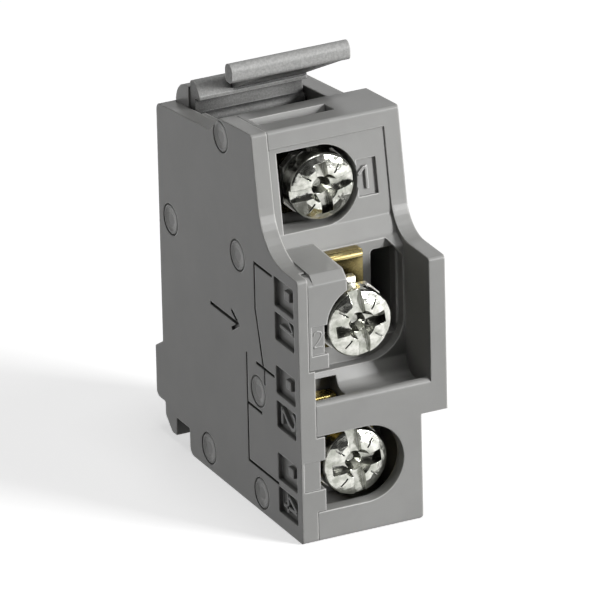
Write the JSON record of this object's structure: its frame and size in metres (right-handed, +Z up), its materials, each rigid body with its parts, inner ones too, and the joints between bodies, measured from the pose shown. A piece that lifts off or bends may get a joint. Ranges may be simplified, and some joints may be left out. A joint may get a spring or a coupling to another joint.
{
  "type": "auxiliary contact block",
  "caption": "Snap-in changeover contact block: stepped grey shell, screw terminals with clamp plates, rear release latch and foot hook, plunger-driven rocking contact.",
  "frame": {"origin": "middle of the bounding box's bottom face, on the plane of the block's bottom face", "axes": "+X from the side cover to the right wall, +Y from the terminals at the front to the foot hook at the rear, +Z up along the block's height"},
  "size_m": [0.013, 0.0264, 0.0362],
  "materials": {
    "housing_grey": "satin moulded thermoplastic",
    "cover_grey": "satin moulded thermoplastic",
    "latch_grey": "finely grained moulded thermoplastic",
    "screw_steel": "bright zinc plate on steel",
    "clamp_steel": "bright zinc plate on steel",
    "strip_brass": "bright rolled brass",
    "contact_silver": "polished silver alloy",
    "arm_bronze": "rolled spring bronze",
    "pin_steel": "ground steel",
    "spring_steel": "drawn spring wire",
    "plunger_white": "satin moulded acetal"
  },
  "bodies": {
    "housing": {"base_shell": "housing_grey", "side_cover": "cover_grey", "common_strip": "strip_brass", "break_strip": "strip_brass", "make_strip": "strip_brass", "break_contact": "contact_silver", "make_contact": "contact_silver", "pivot_pin": "pin_steel", "contact_spring": "spring_steel", "plunger_spring": "spring_steel"},
    "latch": {"release_latch": "latch_grey"},
    "plunger": {"plunger": "plunger_white"},
    "arm": {"contact_arm": "arm_bronze", "arm_break_contact": "contact_silver", "arm_make_contact": "contact_silver"},
    "top_clamp": {"top_clamp_plate": "clamp_steel"},
    "top_screw": {"top_screw": "screw_steel"},
    "middle_clamp": {"middle_clamp_plate": "clamp_steel"},
    "middle_screw": {"middle_screw": "screw_steel"},
    "bottom_clamp": {"bottom_clamp_plate": "clamp_steel"},
    "bottom_screw": {"bottom_screw": "screw_steel"}
  },
  "joints": [
    {"name": "plunger_press", "type": "slide", "parent": "housing", "child": "plunger", "axis": [0, 0, 1], "range_m": [0, 0.000925], "stiffness_N_per_m": 250, "springref_m": -0.001, "deforming": ["plunger_spring"]},
    {"name": "arm_rock", "type": "hinge", "parent": "housing", "child": "arm", "pos_m": [0.00015, 0.0014, 0.01315], "axis": [1, 0, 0], "range_deg": [0, 7.65], "deforming": ["contact_spring"]},
    {"name": "latch_press", "type": "hinge", "parent": "housing", "child": "latch", "pos_m": [0, 0.00825, 0.0281], "axis": [1, 0, 0], "range_deg": [0, 12], "stiffness_Nm_per_rad": 0.2},
    {"name": "top_clamp_travel", "type": "slide", "parent": "housing", "child": "top_clamp", "axis": [0, 1, 0], "range_m": [0, 0.00125]},
    {"name": "top_screw_turn", "type": "hinge", "parent": "top_clamp", "child": "top_screw", "pos_m": [-0.00075, -0.0047, 0.0269], "axis": [0, 1, 0], "range_deg": [0, 901]},
    {"name": "middle_clamp_travel", "type": "slide", "parent": "housing", "child": "middle_clamp", "axis": [0, 1, 0], "range_m": [0, 0.00125]},
    {"name": "middle_screw_turn", "type": "hinge", "parent": "middle_clamp", "child": "middle_screw", "pos_m": [-0.0008, -0.0109, 0.0176], "axis": [0, 1, 0], "range_deg": [0, 901]},
    {"name": "bottom_clamp_travel", "type": "slide", "parent": "housing", "child": "bottom_clamp", "axis": [0, 1, 0], "range_m": [0, 0.00125]},
    {"name": "bottom_screw_turn", "type": "hinge", "parent": "bottom_clamp", "child": "bottom_screw", "pos_m": [-0.00125, -0.01055, 0.0057], "axis": [0, 1, 0], "range_deg": [0, 901]}
  ],
  "couplings": [
    {"joint": "arm_rock", "follows": "plunger_press", "rad_per_m": 143.88},
    {"joint": "top_screw_turn", "follows": "top_clamp_travel", "rad_per_m": 12566},
    {"joint": "middle_screw_turn", "follows": "middle_clamp_travel", "rad_per_m": 12566},
    {"joint": "bottom_screw_turn", "follows": "bottom_clamp_travel", "rad_per_m": 12566}
  ]
}
